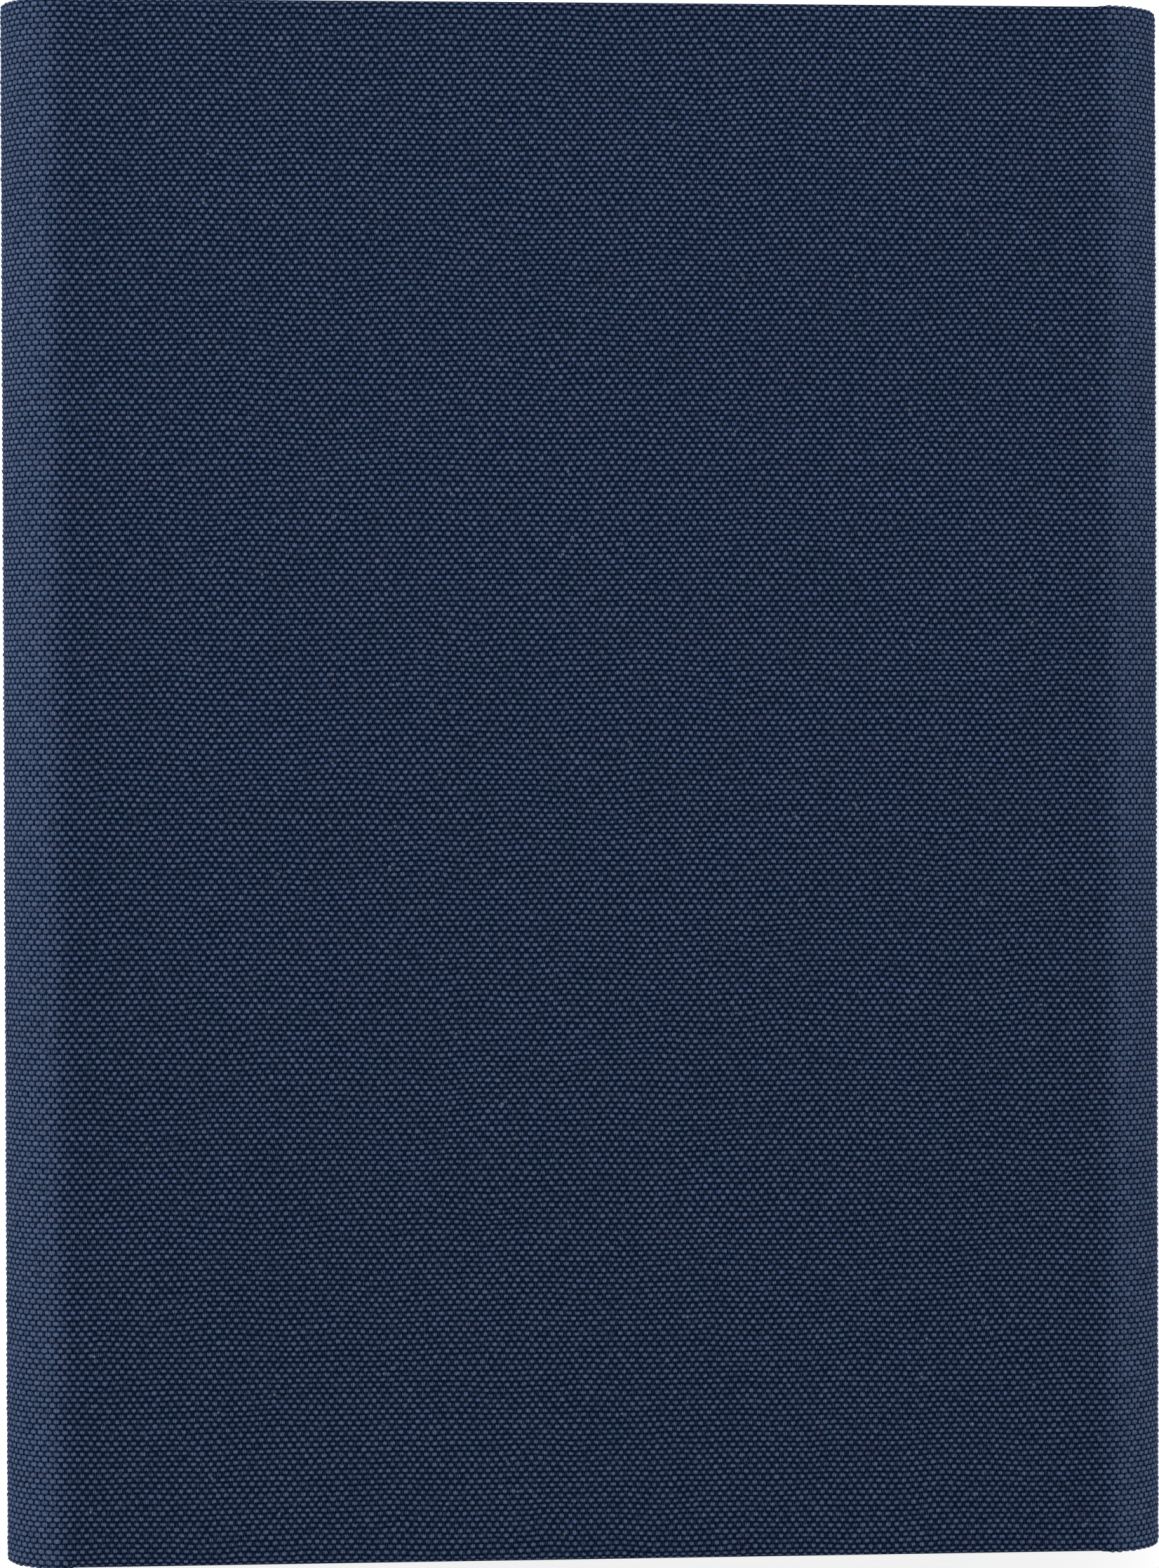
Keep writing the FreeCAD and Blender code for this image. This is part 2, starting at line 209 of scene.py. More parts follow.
weave = {
    "warpPitch": 0.65,         # millimetres from yarn to yarn round the cover
    "weftPitch": 0.833,        # and along the spine
    "drift": 0.35,             # how far a yarn wanders
    "driftSize": 0.07,         # sizes are the scales of the noise, for each millimetre
    "plyPitch": 0.29,          # between the fine strands that show in a crown
    "jitter": 0.10,
    "jitterSize": 0.9,
    "patchSize": 0.035,        # slow changes of tone over the whole cloth
    "crownWide": 0.59,         # half the width of a crown, in warp pitches
    "tightWide": 0.21,         # and how much wider it is where the cloth is tight
    "crownTall": 0.355,        # half its height, in weft pitches
    "tightTall": 0.090,
    "unevenWide": 0.09,        # spread of the crowns' sizes
    "unevenTall": 0.06,
    "rimPaintedShade": 0.56,          # painted shading of a crown: share of its colour where it dives (painted shade), added on top (painted light), and added where the cloth is tight on a fold (painted highlight)
    "topPaintedLight": 0.60,
    "foldPaintedHighlight": 0.12,
    "bright": rgb(0.119, 0.194, 0.360),
    "brightWarm": rgb(0.141, 0.186, 0.348),
    "dark": rgb(0.0010, 0.0050, 0.0180),
    "foldNear": 1.3,           # the cloth starts to be drawn tight, and the fold's painted highlight to show, this far before a fold
    "foldFull": -3.4,          # and is fully tight, with the painted highlight full, this far inside it
    "steadyNear": 6.0,         # the yarns stop wandering between these two
    "steadyFull": 1.0,
    "lintSize": 0.11,
    "lintShare": 0.72,         # cells above this chance hold a fleck
    "lint": rgb(0.30, 0.32, 0.36),
    "mapName": "clothMap",
}


def widthOf(node):
    low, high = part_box(node)
    return high.x - low.x


coverLow, coverHigh = cadBounds
left, right = coverLow.x, coverHigh.x
base, top = coverLow.z, coverHigh.z
panelThick = widthOf("spine_cloth")
edgeRadius = widthOf("rear_hinge_cloth")
halfHeight = coverHigh.y
foldLength = math.pi / 2 * edgeRadius
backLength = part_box("back_cloth")[1].x - (left + edgeRadius)
spineLength = top - 2 * edgeRadius
frontLength = right - left - 2 * edgeRadius
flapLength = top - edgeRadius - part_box("flap_cloth")[0].z

stripStart = {"rearFold": backLength}
stripStart["spine"] = stripStart["rearFold"] + foldLength
stripStart["frontFold"] = stripStart["spine"] + spineLength
stripStart["front"] = stripStart["frontFold"] + foldLength
stripStart["flapFold"] = stripStart["front"] + frontLength
stripStart["flap"] = stripStart["flapFold"] + foldLength


def coverClothFinish():
    finish = Finish("coverCloth", Roughness=0.9, Specular_IOR_Level=0.01)
    plain = finish.own(weave["mapName"])
    along, across, _ = finish.split(plain)

    # how tightly the cloth is drawn over a fold, from 0 on the flat to 1; the same share sets the painted
    # highlight on the folds
    foldTightAndLit = steady = 0.0
    half = foldLength / mm / 2
    for name in ("rearFold", "frontFold", "flapFold"):
        away = abs(along - (stripStart[name] / mm + half))
        foldTightAndLit = away.ramp(half + weave["foldNear"], half + weave["foldFull"]) + foldTightAndLit
        steady = away.ramp(half + weave["steadyNear"], half + weave["steadyFull"]) + steady

    free = 1 - steady
    wander = finish.noise(plain, weave["driftSize"], 2.0)
    waveA, waveB, _ = finish.split(wander.at("Color"))
    shake = finish.noise(plain, weave["jitterSize"], 1.0)
    shakeA, shakeB, _ = finish.split(shake.at("Color"))
    drift = 4 * weave["drift"]
    jitter = 2 * weave["jitter"]
    u = along + ((waveA - 0.5) * drift + (shakeA - 0.5) * jitter) * free
    v = across + ((waveB - 0.5) * drift + (shakeB - 0.5) * jitter) * free

    # the crowns stand in rows, each row half a step along from the next
    across = v / weave["weftPitch"]
    row = across.nearest()
    pair = (u / weave["warpPitch"] - row) * 0.5
    column = pair.nearest()
    offRow = abs(across - row)
    offColumn = abs(pair - column) * 2
    cell = finish.join(column, row)
    chance = finish.node("TexWhiteNoise", {"noise_dimensions": "2D"}, {"Vector": cell})
    chanceA, chanceB, chanceC = finish.split(chance.at("Color"))

    # reach grows from 0 in the middle of a crown, and passes 1 at its rim
    crownWide = weave["crownWide"] + weave["tightWide"] * foldTightAndLit + (chanceB - 0.5) * weave["unevenWide"]
    crownTall = weave["crownTall"] + weave["tightTall"] * foldTightAndLit + (chanceC - 0.5) * weave["unevenTall"]
    sideOn = offColumn / crownWide
    endOn = offRow / crownTall
    reach = sideOn ** 3.4 + endOn ** 2.4
    # painted shading in each crown: lighter on top, with painted shade toward the rim where the yarn
    # dives
    crownPaintedShading = (sideOn ** 2.0 + endOn ** 2.0).ramp(1.2, 0.0)

    # fine strands in the yarns: hairs along a crown, and how they lay together
    hairs = finish.noise(finish.join(u * 4.6, v * 1.1), 1.0, 3.0, 0.65)
    lay = finish.noise(finish.join(u * 1.3, v * 1.3), 1.0, 2.0, 0.6)
    ply = (u * (2 * math.pi / weave["plyPitch"]) + lay * 14 + chanceA * 6).cosine()
    hairs = ply * 0.30 + (hairs - 0.5) * 1.7 + 0.5
    patch = finish.noise(plain, weave["patchSize"], 3.0, 0.6)
    crown = (reach - (hairs - 0.5) * 0.9).ramp(1.60, 0.35)

    # the lower yarns show darkly between the crowns
    between = ((1 - offColumn) / 0.55) ** 2.0 + (offRow / 0.42) ** 2.0
    under = (between.ramp(1.3, 0.2) * (1 - crown)).atLeast(0.0)
    strands = finish.noise(finish.join(u * 6.5 + 3.0 * lay, v * 1.0), 1.0, 2.0, 0.6).ramp(0.54, 0.70)

    strength = 0.15 + 0.20 * chanceA + 0.69 * hairs + 0.3 * (lay - 0.5) + 0.16 * (patch - 0.5)
    # painted shade at each crown's rim, painted light on its top, and a painted highlight over the folds
    strength = strength * (weave["rimPaintedShade"] + weave["topPaintedLight"] * crownPaintedShading + weave["foldPaintedHighlight"] * foldTightAndLit)
    amount = crown * strength + under * (0.09 * hairs - 0.01) + 0.035 * hairs
    amount = (amount + strands * (0.22 - 0.12 * crown)).atLeast(0.0)

    # a few pale flecks of lint
    speck = finish.node("TexVoronoi", {"voronoi_dimensions": "2D"},
                        {"Vector": plain, "Scale": weave["lintSize"]})
    speckChance, _, _ = finish.split(speck.at("Color"))
    fleck = speck.at("Distance").ramp(0.030, 0.014) * (speckChance > weave["lintShare"]) * hairs

    bright = finish.mix(chanceC * 0.75 + 0.2 * lay, weave["bright"], weave["brightWarm"])
    tone = finish.mix(amount, weave["dark"], bright)
    tone = finish.mix(fleck * 0.8, tone, weave["lint"])
    finish.wear(Base_Color=tone, Roughness=0.96 - 0.16 * crown)
    finish.bump(crown * 0.8 + crown * hairs * 0.5 + under * 0.25, 0.16 * mm, 0.7)
    return finish.material


liningLook = {
    "threadPitch": 0.42 * mm,
    "thick": 0.35 * mm,
    "proud": 0.12 * mm,        # above the turn-ins, whose edges it covers
    "cover": 1.5 * mm,         # over the turn-ins
    "foldCover": 1.0 * mm,     # over the turn-ins at a fold
}


def liningFinish():
    finish = Finish("liningCloth", Roughness=0.8, Specular_IOR_Level=0.25)
    x, y, z = finish.split(finish.place())
    turns = math.pi / liningLook["threadPitch"]
    thread = abs(((x + z) * turns).cosine() * (y * turns).cosine()).math("SQRT")
    mottle = finish.noise(finish.place(), 260.0, 4.0, 0.6)
    cloud = finish.noise(finish.place(), 28.0, 3.0, 0.55)
    shade = 0.25 + 0.45 * thread + 0.5 * (mottle - 0.5) + 0.5 * (cloud - 0.5)
    shade = shade.math("ADD", 0.1, clamp=True)
    finish.wear(Base_Color=finish.mix(shade, rgb(0.014, 0.017, 0.026), rgb(0.060, 0.067, 0.090)),
                Roughness=0.86 - 0.2 * thread)
    finish.bump(thread + 0.6 * mottle, 0.05 * mm, 0.8)
    return finish.material


def plateFinish(name, colour, roughLow, roughHigh):
    finish = Finish(name, Metallic=1.0, Roughness=0.2)
    smudge = finish.noise(finish.place(), 90.0, 5.0, 0.65)
    x, y, z = finish.split(finish.place())
    drawn = finish.noise(finish.join(x * 3000.0, y * 60.0, z * 3000.0), 1.0, 2.0, 0.6)
    darker = rgb(*(0.72 * c for c in colour[:3]))
    finish.wear(Base_Color=finish.mix((0.8 * smudge + 0.35 * drawn) - 0.1, darker, colour),
                Roughness=smudge.ramp(0.3, 0.75, roughLow, roughHigh) + 0.08 * drawn)
    finish.bump(drawn + 0.4 * smudge, 0.006 * mm, 0.6)
    return finish.material


paperLook = {
    "mapName": "leafMap",      # millimetres from the punched edge, and along the spine
    "edgeMapName": "edgeMap",  # 1 on a sheet's cut edges, else 0
    "rowPitch": 7.0,
    "columnPitch": 11.0,
    "headTop": 92.0,           # the heading band of a page runs between these two
    "headLow": 76.0,
    "footRow": -88.0,
    "ruleLeft": 14.0,
    "ruleRight": 139.0,
    "heavyEvery": 4,           # columns between heavy rules
    "ruleInk": rgb(0.22, 0.38, 0.36),
    "heavyInk": rgb(0.12, 0.24, 0.24),
    "bandInk": rgb(0.42, 0.60, 0.60),
    "stripeInk": rgb(0.62, 0.76, 0.70),
}


def paperFinish():
    finish = Finish("logPaper", Roughness=0.85, Specular_IOR_Level=0.3)
    x, y, _ = finish.split(finish.own(paperLook["mapName"]))
    fibre = finish.noise(finish.place(), 900.0, 4.0, 0.7)
    cloud = finish.noise(finish.place(), 35.0, 3.0, 0.6)
    paper = finish.mix(0.6 * fibre + 0.5 * cloud, rgb(0.80, 0.79, 0.70), rgb(0.90, 0.89, 0.83))

    onPage = ((x > paperLook["ruleLeft"]) * (x < paperLook["ruleRight"])
              * (y < paperLook["headTop"]) * (y > paperLook["footRow"]))
    body = onPage * (y < paperLook["headLow"])
    fromHead = y - paperLook["headLow"]
    fromLeft = x - paperLook["ruleLeft"]
    rowLine = (abs((fromHead / paperLook["rowPitch"]).fraction() - 0.5) > 0.485) * body
    columnLine = (abs((fromLeft / paperLook["columnPitch"]).fraction() - 0.5) > 0.490) * onPage
    widePitch = paperLook["heavyEvery"] * paperLook["columnPitch"]
    heavy = (abs((fromLeft / widePitch).fraction() - 0.5) > 0.494) * onPage
    band = (y > paperLook["headLow"]) * onPage
    stripe = ((fromHead / (2 * paperLook["rowPitch"])).fraction() > 0.5) * body
    page = finish.mix(stripe * 0.22, paper, paperLook["stripeInk"])
    page = finish.mix(band * 0.45, page, paperLook["bandInk"])
    page = finish.mix((rowLine + columnLine).math("MINIMUM", 1.0) * 0.7, page, paperLook["ruleInk"])
    page = finish.mix(heavy * 0.85, page, paperLook["heavyInk"])

    # cut edges show the leaves of a sheaf as fine grey lines
    edges = finish.noise(finish.join(x * 0.02, y * 14.0), 1.0, 2.0, 0.7)
    edgeTone = finish.mix(edges.ramp(0.35, 0.65), rgb(0.50, 0.48, 0.42), rgb(0.86, 0.85, 0.78))
    isEdge, _, _ = finish.split(finish.own(paperLook["edgeMapName"]))
    finish.wear(Base_Color=finish.mix(isEdge, page, edgeTone), Roughness=0.82 + 0.12 * fibre)
    finish.bump(fibre + isEdge * edges, 0.02 * mm, 0.5)
    return finish.material


def cardFinish():
    finish = Finish("dividerCard", Roughness=0.55, Specular_IOR_Level=0.35)
    fibre = finish.noise(finish.place(), 700.0, 5.0, 0.7)
    cloud = finish.noise(finish.place(), 24.0, 3.0, 0.6)
    x, _, _ = finish.split(finish.own(paperLook["mapName"]))
    worn = finish.noise(finish.place(), 160.0, 4.0, 0.65) * x.ramp(143.0, 147.5)
    tone = finish.mix(0.5 * fibre + 0.5 * cloud, rgb(0.19, 0.30, 0.42), rgb(0.30, 0.42, 0.54))
    finish.wear(Base_Color=finish.mix(worn * 0.8, tone, rgb(0.62, 0.66, 0.70)),
                Roughness=0.5 + 0.25 * fibre)
    finish.bump(fibre + 0.3 * cloud, 0.02 * mm, 0.6)
    return finish.material


def leatherFinish():
    finish = Finish("pocketLeather", Roughness=0.5, Specular_IOR_Level=0.4)
    grain = finish.node("TexVoronoi", {"feature": "DISTANCE_TO_EDGE"},
                        {"Vector": finish.place(), "Scale": 900.0})
    crease = grain.at("Distance").ramp(0.0, 0.16)
    cloud = finish.noise(finish.place(), 45.0, 4.0, 0.6)
    fine = finish.noise(finish.place(), 1800.0, 3.0, 0.6)
    worn = 0.55 * crease + 0.6 * (cloud - 0.3)
    tone = finish.mix(worn, rgb(0.010, 0.012, 0.018), rgb(0.050, 0.057, 0.078))
    finish.wear(Base_Color=tone, Roughness=0.72 - 0.22 * crease + 0.12 * (cloud - 0.5))
    finish.bump(crease + 0.25 * fine, 0.07 * mm, 0.8)
    return finish.material


def threadFinish():
    finish = Finish("stitchThread", Roughness=0.7, Specular_IOR_Level=0.3)
    x, y, z = finish.split(finish.place())
    twist = abs(((x + y + 0.6 * z) * (math.pi / (0.35 * mm))).cosine())
    finish.wear(Base_Color=finish.mix(twist, rgb(0.012, 0.015, 0.026), rgb(0.080, 0.095, 0.140)))
    finish.bump(twist, 0.05 * mm, 0.7)
    return finish.material


def filmFinish():
    finish = Finish("clearFilm", Roughness=0.12, Specular_IOR_Level=0.5, IOR=1.45, Coat_Weight=0.2)
    haze = finish.noise(finish.place(), 60.0, 4.0, 0.6)
    scuff = finish.noise(finish.place(), 420.0, 5.0, 0.7)
    finish.wear(Base_Color=finish.mix(haze, rgb(0.82, 0.86, 0.88), rgb(0.93, 0.95, 0.96)),
                Alpha=0.20 + 0.16 * haze + 0.10 * scuff, Roughness=0.10 + 0.25 * scuff)
    finish.bump(haze + 0.1 * scuff, 0.05 * mm, 0.5)
    return finish.material


def boardFinish():
    finish = Finish("greyboard", Roughness=0.9, Specular_IOR_Level=0.2)
    pulp = finish.noise(finish.place(), 600.0, 6.0, 0.75)
    fleck = finish.noise(finish.place(), 1500.0, 2.0, 0.5).ramp(0.62, 0.72)
    tone = finish.mix(pulp, rgb(0.30, 0.28, 0.25), rgb(0.46, 0.44, 0.40))
    finish.wear(Base_Color=finish.mix(fleck * 0.7, tone, rgb(0.16, 0.15, 0.14)),
                Roughness=0.84 + 0.12 * pulp)
    finish.bump(pulp, 0.05 * mm, 0.7)
    return finish.material


coverCloth = coverClothFinish()
liningCloth = liningFinish()
nickel = plateFinish("nickelPlate", rgb(0.76, 0.75, 0.72), 0.10, 0.26)
steel = plateFinish("springSteel", rgb(0.56, 0.57, 0.58), 0.24, 0.42)
magnetPlate = plateFinish("magnetPlate", rgb(0.62, 0.62, 0.64), 0.16, 0.34)
logPaper = paperFinish()
dividerCard = cardFinish()
leather = leatherFinish()
stitchThread = threadFinish()
clearFilm = filmFinish()
greyboard = boardFinish()
print("finishes made")


# Helpers for pieces

def newPiece(name, bm, material, smoothDegrees=40.0):
    mesh = bpy.data.meshes.new(name)
    bm.edges.index_update()
    rims = [edge.index for edge in bm.edges if edge.is_boundary]
    bm.to_mesh(mesh)
    bm.free()
    mesh.polygons.foreach_set("use_smooth", [True] * len(mesh.polygons))
    mesh.set_sharp_from_angle(angle=math.radians(smoothDegrees))
    for index in rims:
        mesh.edges[index].use_edge_sharp = True
    mesh.materials.append(material)
    piece = bpy.data.objects.new(name, mesh)
    bpy.context.scene.collection.objects.link(piece)
    return piece


def solidify(piece, thick):
    wall = piece.modifiers.new("thickness", "SOLIDIFY")
    wall.thickness = thick
    wall.offset = -1.0
    wall.use_even_offset = True
    return piece


def slab(bm, x0, x1, y0, y1, z0, z1):
    made = bmesh.ops.create_cube(bm, size=1.0)["verts"]
    bmesh.ops.scale(bm, verts=made, vec=(x1 - x0, y1 - y0, z1 - z0))
    bmesh.ops.translate(bm, verts=made, vec=((x0 + x1) / 2, (y0 + y1) / 2, (z0 + z1) / 2))


def roundEdges(bm, edges, radius, segments):
    bmesh.ops.bevel(bm, geom=edges, offset=radius, offset_type="OFFSET", affect="EDGES",
                    segments=segments, profile=0.5, material=-1)


def placeBy(bm, matrix):
    bmesh.ops.transform(bm, matrix=matrix, verts=bm.verts)
    if matrix.determinant() < 0:
        bmesh.ops.reverse_faces(bm, faces=bm.faces)


def axes(origin, along, inward):
    # a panel's own axes: along the strip, along the spine, and inward from the cloth's face
    columns = (Vector(along), Vector((0, 1, 0)), Vector(inward), Vector(origin))
    matrix = Matrix.Identity(4)
    for index, column in enumerate(columns):
        for row in range(3):
            matrix[row][index] = column[row]
    return matrix


def cutFrom(piece, cutter):
    # the mesh that is left of a piece when the cutter's shapes are taken out
    tool = newPiece(piece.name + "Cutter", cutter, piece.data.materials[0])
    cut = piece.modifiers.new("cut", "BOOLEAN")
    cut.operation = "DIFFERENCE"
    cut.object = tool
    cut.solver = "EXACT"
    bpy.context.view_layer.update()
    graph = bpy.context.evaluated_depsgraph_get()
    shaped = bpy.data.meshes.new_from_object(piece.evaluated_get(graph))
    piece.modifiers.clear()
    bpy.data.objects.remove(tool)
    return shaped


def sign(value):
    return -1.0 if value < 0 else 1.0


def uprightEdges(bm, height):
    # edges that climb by more than this height
    return [edge for edge in bm.edges if abs(edge.verts[0].co.z - edge.verts[1].co.z) > height]


def edgesAt(bm, x):
    return [edge for edge in bm.edges
            if edge.is_boundary and all(abs(vert.co.x - x) < tiny for vert in edge.verts)]


def extruded(bm, edges):
    made = bmesh.ops.extrude_edge_only(bm, edges=edges)["geom"]
    return [item for item in made if isinstance(item, bmesh.types.BMVert)]


def wearNode(piece, body, cadNode=None):
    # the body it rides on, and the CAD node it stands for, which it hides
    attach(piece, body)
    if cadNode:
        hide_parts(cadNode)


# Cover panels: each is a sheet wrapped round its board, and turned in over the inside

def mapPanel(bm, length, uStart, uTurn, freeTurnIn):
    # the cloth's map runs on round the edges and over the turn-ins
    layer = bm.loops.layers.uv.new(weave["mapName"])
    for face in bm.faces:
        normal = face.normal
        centre = face.calc_center_median()
        sideways = abs(normal.x) + abs(normal.y) + 1e-9
        for loop in face.loops:
            s, y, d = loop.vert.co
            if normal.z > 0.7:
                fromEnd = length - centre.x
                if freeTurnIn and fromEnd < min(freeTurnIn, halfHeight - abs(centre.y)):
                    s = length + panelThick + (length - s)
                else:
                    y = sign(y) * (2 * halfHeight + panelThick - abs(y))
            else:
                s += d * abs(normal.x) / sideways
                y += sign(y) * d * abs(normal.y) / sideways
            loop[layer].uv = ((uStart + uTurn * s) / mm, y / mm)


def coverPanel(name, panel, uStart, uTurn=1.0):
    body, length, origin, along, inward, freeTurnIn = panels[panel]
    bm = bmesh.new()
    slab(bm, 0, length, -halfHeight, halfHeight, 0, panelThick)
    # a hinge end stays open, and the free end of the back or the flap is wrapped
    ends = [face for face in bm.faces
            if abs(face.normal.x) > 0.9 and (face.normal.x < 0 or not freeTurnIn)]
    bmesh.ops.delete(bm, geom=ends, context="FACES")
    turned = [edge for edge in bm.edges if not edge.is_boundary]
    roundEdges(bm, turned, coverSize["edgeRound"], 4)
    inner = [face for face in bm.faces if face.normal.z > 0.99]
    reach = (freeTurnIn or coverSize["turnIn"]) - coverSize["edgeRound"]
    bmesh.ops.inset_region(bm, faces=inner, thickness=reach, use_boundary=False, use_even_offset=True)
    bmesh.ops.delete(bm, geom=inner, context="FACES")
    if freeTurnIn and freeTurnIn < coverSize["turnIn"]:
        # the narrow turn-in at a flap's end meets deeper ones at head and tail
        for vert in bm.verts:
            inside = vert.is_boundary and vert.co.z > panelThick - tiny
            if inside and vert.co.x < length - freeTurnIn + tiny:
                vert.co.y = sign(vert.co.y) * (halfHeight - coverSize["turnIn"])
    # at a hinge the turn-ins run down over the end of the board
    for end in ([0.0] if freeTurnIn else [0.0, length]):
        stepped = [edge for edge in edgesAt(bm, end)
                   if all(vert.co.z > panelThick / 2 for vert in edge.verts)]
        for vert in extruded(bm, stepped):
            vert.co.x += coverSize["endDrape"] * (1 if end else -1)
            vert.co.z = coverSize["clothThick"]
    bm.normal_update()
    mapPanel(bm, length, uStart, uTurn, freeTurnIn)
    placeBy(bm, axes(origin, along, inward))
    piece = solidify(newPiece(name, bm, coverCloth), coverSize["clothThick"])
    wearNode(piece, body, panel + "_cloth")
    cutLength = length + (panelThick + freeTurnIn if freeTurnIn else 0.0)


# name in CAD, body, length, origin, axis along the strip, axis inward, turn-in at a free end
panels = {
    "back": ("back_cover", backLength, (left + edgeRadius, 0, base), (1, 0, 0), (0, 0, 1),
             coverSize["turnIn"]),
    "spine": ("spine", spineLength, (left, 0, base + edgeRadius), (0, 0, 1), (1, 0, 0), 0.0),
    "front": ("front_cover", frontLength, (left + edgeRadius, 0, top), (1, 0, 0), (0, 0, -1), 0.0),
    "flap": ("fore_edge_flap", flapLength, (right, 0, top - edgeRadius), (0, 0, -1), (-1, 0, 0),
             coverSize["flapTurnIn"]),
}
coverPanel("backCoverCloth", "back", stripStart["rearFold"], -1.0)
coverPanel("spinePanelCloth", "spine", stripStart["spine"])
coverPanel("frontCoverCloth", "front", stripStart["front"])
coverPanel("flapPanelCloth", "flap", stripStart["flap"])
print("cover panels made")


# Folds: the cloth bends from one panel to the next, with its yarns standing up from the surface

def yarnHeight(u, v, chances):
    row = round(v / weave["weftPitch"])
    pair = (u / weave["warpPitch"] - row) / 2
    cell = (round(pair), row)
    if cell not in chances:
        chances[cell] = random.random()
    uneven = 1 - coverSize["crownUneven"] * chances[cell]
    wide = weave["crownWide"] + weave["tightWide"]
    tall = weave["crownTall"] + weave["tightTall"]
    reach = (2 * abs(pair - cell[0]) / wide) ** 2 + (abs(v / weave["weftPitch"] - row) / tall) ** 2
    return coverSize["crownHeight"] * uneven * math.sqrt(max(0.0, 1 - coverSize["crownDome"] * reach))


def foldPoint(centre, firstDegrees, share, radius, y):
    # each fold turns a quarter back round its centre, as its share grows to 1
    angle = math.radians(firstDegrees) - math.pi / 2 * share
    return Vector((centre[0] + radius * math.cos(angle), y, centre[1] + radius * math.sin(angle)))


def foldGrid(columns, rows):
    # a grid with its corner at 0, 0 and sides of 1
    bm = bmesh.new()
    bmesh.ops.create_grid(bm, x_segments=columns, y_segments=rows, size=0.5)
    bmesh.ops.translate(bm, verts=bm.verts, vec=(0.5, 0.5, 0))
    return bm


def turnFaces(bm, face, centre, outward):
    # turns the whole sheet over if this face of it looks the wrong way
    bm.normal_update()
    middle = face.calc_center_median()
    away = middle - Vector((centre[0], middle.y, centre[1]))
    if (face.normal.dot(away) > 0) != outward:
        bmesh.ops.reverse_faces(bm, faces=bm.faces)


def foldCloth(name, cadNode, centre, firstDegrees, uStart):
    random.seed(name)
    hingeThick = 2 * coverSize["clothThick"]
    rimRadius = hingeThick / 2
    rim = math.pi * rimRadius
    straight = halfHeight - rimRadius
    reach = straight + rim + coverSize["turnIn"]
    step = coverSize["foldColumns"]
    columns = round(foldLength / mm / weave["warpPitch"] * step)
    rows = round(2 * reach / mm / weave["weftPitch"] * step)
    bm = foldGrid(columns, rows)
    layer = bm.loops.layers.uv.new(weave["mapName"])
    fade = coverSize["foldFade"]
    chances = {}
    places = {}
    for vert in bm.verts:
        share = vert.co.x
        v = (2 * vert.co.y - 1) * reach
        u = uStart + share * foldLength
        beyond = abs(v) - straight
        height = yarnHeight(u / mm, v / mm, chances) * min(1.0, fade * share, fade * (1 - share))
        if beyond <= 0:
            y = v
            radius = edgeRadius + height
        elif beyond < rim:
            lean = beyond / rimRadius
            y = sign(v) * (straight + (rimRadius + height) * math.sin(lean))
            radius = edgeRadius - rimRadius + (rimRadius + height) * math.cos(lean)
        else:
            y = sign(v) * (straight - (beyond - rim))
            radius = edgeRadius - hingeThick - height
        places[vert] = (u / mm, v / mm)
        vert.co = foldPoint(centre, firstDegrees, share, radius, y)
    for face in bm.faces:
        for loop in face.loops:
            loop[layer].uv = places[loop.vert]
    turnFaces(bm, bm.faces[:][len(bm.faces) // 2], centre, True)
    piece = newPiece(name, bm, coverCloth, 75.0)
    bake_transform(piece)
    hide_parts(cadNode)
    2 * reach


def foldLining(name, centre, firstDegrees):
    # the lining runs on over the inside of a fold, between the turn-ins
    half = halfHeight - coverSize["turnIn"] + liningLook["foldCover"]
    radius = edgeRadius - 2 * coverSize["clothThick"] - liningLook["proud"]
    bm = foldGrid(16, 24)
    for vert in bm.verts:
        vert.co = foldPoint(centre, firstDegrees, vert.co.x, radius, (2 * vert.co.y - 1) * half)
    turnFaces(bm, bm.faces[:][0], centre, False)
    piece = newPiece(name, bm, liningCloth)
    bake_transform(piece)


# name, CAD node, the two bodies, centre in x and z, and the angle at which the strip meets it
for label, cadNode, bodies, centre, firstDegrees in (
        ("rearFold", "rear_hinge_cloth", ("back_cover", "spine"),
         (left + edgeRadius, base + edgeRadius), 270.0),
        ("frontFold", "front_hinge_cloth", ("spine", "front_cover"),
         (left + edgeRadius, top - edgeRadius), 180.0),
        ("flapFold", "flap_hinge_cloth", ("front_cover", "fore_edge_flap"),
         (right - edgeRadius, top - edgeRadius), 90.0)):
    ends = [foldPoint(centre, firstDegrees, share, edgeRadius, 0.0) for share in (0.0, 1.0)]
    foldCloth(label + "Cloth", cadNode, centre, firstDegrees, stripStart[label])
    foldLining(label + "Lining", centre, firstDegrees)
print("folds made")


# Linings, between the turn-ins of each panel

